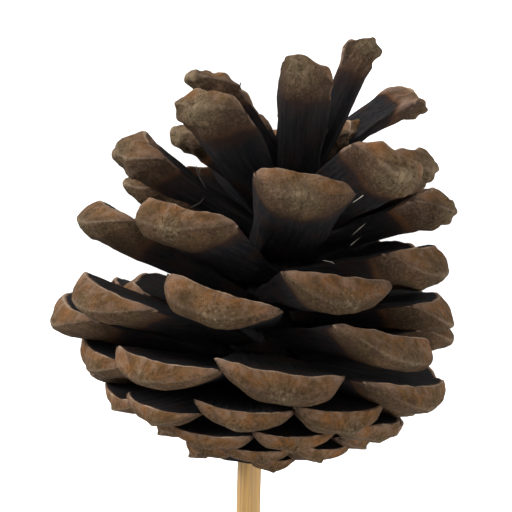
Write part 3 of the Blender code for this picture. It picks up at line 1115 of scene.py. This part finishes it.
def make_stick():
    """The stick with its flutes and lightly broken ends."""
    radius = STICK_DIAMETER / 2
    low, high = -STICK_FREE_LENGTH, STICK_DEPTH
    plain = high - low - 2 * CHAMFER
    heights = [low + CHAMFER + plain * i / STICK_ROWS for i in range(STICK_ROWS + 1)]
    rings = [stick_ring(low, radius - CHAMFER, STICK_SIDES)]
    rings += [stick_ring(height, radius, STICK_SIDES) for height in heights]
    rings += [stick_ring(high, radius - CHAMFER, STICK_SIDES)]
    points, faces = lofted(rings)
    faces, normals = outward(points, faces)
    inner = np.repeat([0.0] + [1.0] * len(heights) + [0.0], STICK_SIDES)
    flutes = noise_at(points, FLUTE_SIZE, FLUTE_SHIFT) - FLUTE_SINK
    points = points + normals * (FLUTES * inner * flutes)[:, None]
    own = np.array([stick_matrix().inverted() @ Vector(p) for p in points])
    return new_piece("stick_wood", points, faces, {"grain": own})


stick = make_stick()
stick.data.set_sharp_from_angle(angle=math.radians(SHARP_ABOVE))
print("stick:", len(stick.data.vertices), "points")

# %% [markdown]
# ## The colours of the cone
#
# The shields weather to a dry mid brown: smooth and orange or ochre in the upper band, and pinker at
# the corners and near the rim, where a painted highlight also makes them paler. A thin pale line of
# painted highlight runs along the rim, and on the scales at the sides along the keel too. Below, towards
# the keel, they are duller and rougher, with a grey and speckled boss and painted shade in the furrows
# and pits, and the crown's scales are darkened there by painted shade. The stalks are almost black with
# long reddish and bluish streaks, and on the scales at the sides a warm band lies where shield and stalk
# meet.
#
# All the colours stand in one list, as linear red, green and blue, so that they can be compared and
# changed together.

# %% Colours of the cone
CONE_COLORS = {
    "stalk": (0.0072, 0.0084, 0.0104),
    "stalk streak": (0.020, 0.0172, 0.0168),
    "stalk red": (0.020, 0.0115, 0.0090),
    "brown": (0.021, 0.0125, 0.0095),
    "warm band": (0.085, 0.034, 0.0130),
    "ochre": (0.067, 0.0345, 0.0120),
    "orange": (0.102, 0.044, 0.0140),
    "dry patch": (0.108, 0.064, 0.038),
    # pinkish wood with a painted highlight, for the corners and near the rim
    "pink corner and highlight": (0.128, 0.084, 0.061),
    "dull": (0.038, 0.0255, 0.0120),
    "dull red": (0.034, 0.019, 0.0115),
    # painted shade for the lower shields of the crown's scales
    "painted crown shade": (0.028, 0.017, 0.0125),
    # painted shade in the furrows of the wrinkles
    "painted furrow shade": (0.028, 0.017, 0.0085),
    "ridge": (0.140, 0.088, 0.052),
    "boss": (0.056, 0.0410, 0.0220),
    "crown boss": (0.102, 0.074, 0.043),
    "boss crumb": (0.128, 0.103, 0.068),
    "crumb": (0.138, 0.088, 0.051),
    # painted shade in the pits of the rough wood
    "painted pit shade": (0.020, 0.0125, 0.0065),
    # a painted highlight along the rim and the keels
    "rim": (0.270, 0.195, 0.135),
    "shade": (0.015, 0.011, 0.009),
}
print("colours of the cone:", len(CONE_COLORS))

# %% [markdown]
# ## What the finish reads
#
# The numbers at the points say where a place is on its scale, and noise of several sizes breaks up most
# borders between two colours. The noise is read in each scale's own shifted millimetres, so no two
# scales show the same patch of it. On the stalk it is stretched along the scale, which turns soft clouds
# into fibres.

# %% Stored numbers and noise
MARKS = ("shield", "band", "corner", "edge", "boss", "crown", "tone", "warmth")
NOISES = {
    # name: coordinates, stretch, scale, detail, roughness
    "blotches": ("grain", (1, 1, 1), 0.15, 4.0, 0.55),
    "patches": ("grain", (1, 1, 1), 0.36, 4.0, 0.6),
    "crumbs": ("grain", (1, 1, 1), 1.3, 6.0, 0.72),
    "wrinkles": ("spokes", (1, 1, 1), 1.0, 5.0, 0.65),
    "fibres": ("grain", (0.07, 1.3, 0.8), 1.0, 5.0, 0.65),
}


def read_cone(f):
    """The stored numbers and the noises of the cone's finish, by name."""
    read = {name: f.stored(name) for name in MARKS}
    for name, (coordinates, by, scale, detail, rough) in NOISES.items():
        vector = f.stretch(f.stored(coordinates, vector=True), by)
        read[name] = f.clouds(vector, scale, detail, rough)
    return read


print("the cone's finish reads", len(MARKS), "stored numbers and", len(NOISES), "noises")

# %% [markdown]
# ## Stalk and shield
#
# The layers go on as a painter's would: a ground, then patches, then the rough parts with painted shade in
# their furrows and pits, then a painted highlight along the rim and keel lines. Each layer is a Mix node
# whose factor is a mask, and most masks are a stored number that noise has made uneven.

# %% The stalk
def stalk_color(f, read):
    """Nearly black, with long dull streaks and reddish patches."""
    streaks = f.steps(read["fibres"], (0.40, 0.0), (0.68, 1.0))
    color = f.mix(streaks, CONE_COLORS["stalk"], CONE_COLORS["stalk streak"])
    return f.mix(f.steps(read["blotches"], (0.50, 0.0), (0.72, 1.0)), color, CONE_COLORS["stalk red"])


print("ground of the stalk:", CONE_COLORS["stalk"])

# %% The shield
def upper_shield(f, read):
    """Smooth ochre and orange wood with dry patches, pinker at the corners and near the rim, where a
    painted highlight also makes it paler.
    """
    blotches, patches, band = read["blotches"], read["patches"], read["band"]
    orange = f.steps(blotches, (0.40, 0.0), (0.58, 1.0))
    color = f.mix(orange, CONE_COLORS["ochre"], CONE_COLORS["orange"])
    dry = f.steps(patches, (0.48, 0.0), (0.60, 1.0)) * 0.9
    color = f.mix(dry, color, CONE_COLORS["dry patch"])
    # corners and the wood near the rim turn pinker and paler: partly their own tone, partly a painted
    # highlight
    pale = read["corner"] + f.steps(band + (patches - 0.5) * 0.8, (0.60, 0.0), (1.0, 0.5))
    return f.mix(pale, color, CONE_COLORS["pink corner and highlight"])


def lower_shield(f, read):
    """The duller wood near the keel, with painted shade that darkens it further on the crown's scales."""
    red = f.steps(read["patches"], (0.42, 0.0), (0.58, 1.0))
    color = f.mix(red, CONE_COLORS["dull"], CONE_COLORS["dull red"])
    # painted shade darkens the lower shields of the crown's scales
    return f.mix(read["crown"] * 0.7, color, CONE_COLORS["painted crown shade"])


def wrinkled(f, read, color):
    """Painted shade in the furrows, and pale ridges, both running out from the boss."""
    furrow_shade = f.steps(read["wrinkles"], (0.34, 1.0), (0.50, 0.0)) * 0.6
    # painted shade in the furrows, where the wrinkles' relief is lowest
    color = f.mix(furrow_shade, color, CONE_COLORS["painted furrow shade"])
    ridges = f.steps(read["wrinkles"], (0.52, 0.0), (0.66, 1.0)) * 0.3
    return f.mix(ridges, color, CONE_COLORS["ridge"])


def speckled(f, read, color):
    """The grey boss with its crumbs, and crumbs and painted shade in the pits where the wood round it is
    rough.
    """
    boss, crumbs = read["boss"], read["crumbs"]
    worn_boss = boss * f.steps(crumbs, (0.40, 0.1), (0.50, 1.0)) * 0.8
    color = f.mix(worn_boss, color, CONE_COLORS["boss"])
    color = f.mix(boss * read["crown"] * 0.75, color, CONE_COLORS["crown boss"])
    boss_crumbs = boss * f.steps(crumbs, (0.56, 0.0), (0.64, 0.8))
    color = f.mix(boss_crumbs, color, CONE_COLORS["boss crumb"])
    uneven = read["band"] - boss + (read["patches"] - 0.5) * 1.2
    rough = f.steps(uneven, (0.1, 1.0), (0.7, 0.3))
    color = f.mix(rough * f.steps(crumbs, (0.52, 0.0), (0.64, 0.35)), color, CONE_COLORS["crumb"])
    # painted shade in the pits, where the crumbs' relief is lowest
    return f.mix(rough * f.steps(crumbs, (0.34, 1.0), (0.48, 0.0)), color, CONE_COLORS["painted pit shade"])


def shield_color(f, read):
    """The bare wood of the shields, smooth above and rough towards the boss."""
    low = f.steps(read["band"] + (read["blotches"] - 0.5) * 0.9, (0.0, 0.9), (0.55, 0.0))
    color = f.mix(low, upper_shield(f, read), lower_shield(f, read))
    color = speckled(f, read, wrinkled(f, read, color))
    # paints a highlight along the rim and, on scales that point sideways, along the keel
    return f.mix(read["edge"] * 0.9, color, CONE_COLORS["rim"])


print("ground of the shield:", CONE_COLORS["ochre"])

# %% Cone finish
SHEEN = 0.03  # dry bark hardly reflects
TONE_DEPTH = 0.3
PLAIN_ROUGHNESS = 0.80
CRUMB_ROUGHNESS = 0.2
RELIEF_DEPTH = 0.0010  # metres
BAND_SMOOTHNESS = 0.6
FIBRE_RELIEF = 1.2


def cone_finish():
    """Stalk, brown border, warm band and shield, with a tone for each scale."""
    f = Finish("weathered_cone")
    read = read_cone(f)
    shield, patches, blotches = read["shield"], read["patches"], read["blotches"]
    brown = f.steps(shield + (blotches - 0.5) * 0.6, (0.05, 0.0), (0.62, 1.0))
    warm = f.steps(shield + (blotches - 0.5) * 0.4, (0.42, 0.0), (0.66, 1.0), (0.86, 0.0))
    bare = f.steps(shield + (patches - 0.5) * 0.6, (0.50, 0.0), (0.92, 1.0))
    color = f.mix(brown, stalk_color(f, read), CONE_COLORS["brown"])
    color = f.mix(warm * read["warmth"], color, CONE_COLORS["warm band"])
    color = f.mix(bare, color, shield_color(f, read))
    color = f.mix(read["tone"] * TONE_DEPTH, color, f.mix(0.5, color, CONE_COLORS["shade"]))
    crumbs = read["crumbs"] * (1.0 - BAND_SMOOTHNESS * read["band"])
    height = crumbs + read["wrinkles"] * bare + read["fibres"] * (1 - bare) * FIBRE_RELIEF
    roughness = PLAIN_ROUGHNESS + CRUMB_ROUGHNESS * read["crumbs"]
    f.shader.inputs["Specular IOR Level"].default_value = SHEEN
    return f.connect(color, roughness, height, RELIEF_DEPTH)


cone_wood = cone_finish()
for piece in scale_pieces + [core]:
    piece.data.materials.append(cone_wood)
    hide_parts("cone")
    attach(piece, "root")
print("cone finish:", len(cone_wood.node_tree.nodes), "nodes")

# %% [markdown]
# ## The finish of the loose fibres
#
# Dry fibre is uneven along its length, so each kind goes between two close colours with soft noise. The
# splinters are dark as the stalks are, and the hairs are bleached.

# %% Finish of the fibres
FIBRE_COLORS = {
    "dark": ((0.011, 0.0075, 0.0055), (0.026, 0.016, 0.011)),
    "pale": ((0.20, 0.165, 0.12), (0.36, 0.33, 0.28)),
}
FIBRE_DEPTH = 0.00005
FIBRE_ROUGHNESS = 0.65
UNEVEN_ROUGHNESS = 0.25


def fibre_finish(tone):
    """Two close colours with soft noise between them."""
    f = Finish(tone + "_fibre")
    uneven = f.clouds(f.stored("grain", vector=True), 0.9)
    color = f.mix(f.steps(uneven, (0.38, 0.0), (0.62, 1.0)), *FIBRE_COLORS[tone])
    return f.connect(color, FIBRE_ROUGHNESS + UNEVEN_ROUGHNESS * uneven, uneven, FIBRE_DEPTH)


for tone, piece in fibre_pieces.items():
    piece.data.materials.append(fibre_finish(tone))
    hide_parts("cone")
    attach(piece, "root")
print("fibre finishes:", len(fibre_pieces))

# %% [markdown]
# ## The finish of the stick
#
# Pale ochre wood with long fine grain. A wave texture would give lines too, but they come out too even.
# The stick's own coordinates run along it, so noise that is stretched along them gives uneven lines of
# grain, also on the cut end, where they show as small dots.

# %% Stick finish
STICK_COLORS = {
    "light": (0.21, 0.115, 0.021),
    "broad": (0.26, 0.145, 0.032),
    "line": (0.115, 0.058, 0.015),
}
GRAIN_STRETCH = (2.2, 2.2, 0.035)
BROAD_STRETCH = (0.5, 0.5, 0.02)
GRAIN_DEPTH = 0.0002
SANDED_ROUGHNESS = 0.55
GRAIN_ROUGHNESS = 0.15


def stick_finish():
    """Broad soft bands under thin dark lines of grain."""
    f = Finish("pale_stick")
    grain = f.stored("grain", vector=True)
    lines = f.clouds(f.stretch(grain, GRAIN_STRETCH), 1.0, 5.0, 0.6)
    broad = f.clouds(f.stretch(grain, BROAD_STRETCH), 1.0, 2.0, 0.5)
    bands = f.steps(broad, (0.35, 0.0), (0.68, 1.0))
    color = f.mix(bands, STICK_COLORS["light"], STICK_COLORS["broad"])
    color = f.mix(f.steps(lines, (0.34, 1.0), (0.52, 0.0)) * 0.75, color, STICK_COLORS["line"])
    return f.connect(color, SANDED_ROUGHNESS + GRAIN_ROUGHNESS * lines, lines, GRAIN_DEPTH)


stick_wood = stick_finish()
stick.data.materials.append(stick_wood)
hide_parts("stick")
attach(stick, "root")
print("stick finish:", len(stick_wood.node_tree.nodes), "nodes")

# %% [markdown]
# ## The studio
#
# A pale floor, a pale sky that fills the shadows, and two soft lights, as on a photographer's table. The
# stronger one stands at the picture's left, towards the cone's tip and fairly low. It rakes over the
# scales, so that their relief shows. The weaker one stands at the right, towards the stem end, and
# keeps that side from going dark.

# %% Floor and sky
FLOOR_SIZE = 6.0
FLOOR_COLOR = (0.9, 0.9, 0.9, 1.0)
SKY_COLOR = (1.0, 1.0, 1.0, 1.0)
SKY_STRENGTH = 1.4


def make_floor():
    """A plain pale floor, which isn't part of the object."""
    mesh = bmesh.new()
    bmesh.ops.create_grid(mesh, x_segments=1, y_segments=1, size=FLOOR_SIZE / 2)
    data = bpy.data.meshes.new("floor")
    mesh.to_mesh(data)
    mesh.free()
    floor = bpy.data.objects.new("floor", data)
    bpy.context.scene.collection.objects.link(floor)
    f = Finish("pale_floor")
    f.shader.inputs["Base Color"].default_value = FLOOR_COLOR
    f.shader.inputs["Roughness"].default_value = 0.9
    data.materials.append(f.material)


def make_sky():
    """An even pale sky."""
    world = bpy.data.worlds.new("pale_sky")
    bpy.context.scene.world = world
    world.use_nodes = True
    background = world.node_tree.nodes["Background"]
    background.inputs["Color"].default_value = SKY_COLOR
    background.inputs["Strength"].default_value = SKY_STRENGTH


make_floor()
make_sky()
bpy.context.scene.view_settings.view_transform = "Standard"
print("floor:", FLOOR_SIZE, "m across, sky strength", SKY_STRENGTH)

# %% Two soft lights
CONE_CENTRE = (0.0, 0.02, 0.045)
LIGHTS = {
    # name: place and size in metres, power in watts
    "key": ((-0.92, 0.45, 0.32), 0.6, 26.0),
    "fill": ((0.60, -0.35, 0.55), 0.7, 9.0),
}


def soft_light(name, place, size, power):
    """A square area light that looks at the cone."""
    lamp = bpy.data.lights.new(name, "AREA")
    lamp.size = size
    lamp.energy = power
    light = bpy.data.objects.new(name, lamp)
    light.location = place
    light.rotation_euler = (Vector(CONE_CENTRE) - Vector(place)).to_track_quat("-Z", "Y").to_euler()
    bpy.context.scene.collection.objects.link(light)


for name, (place, size, power) in LIGHTS.items():
    soft_light(name, place, size, power)
    print(name, "light:", power, "W")
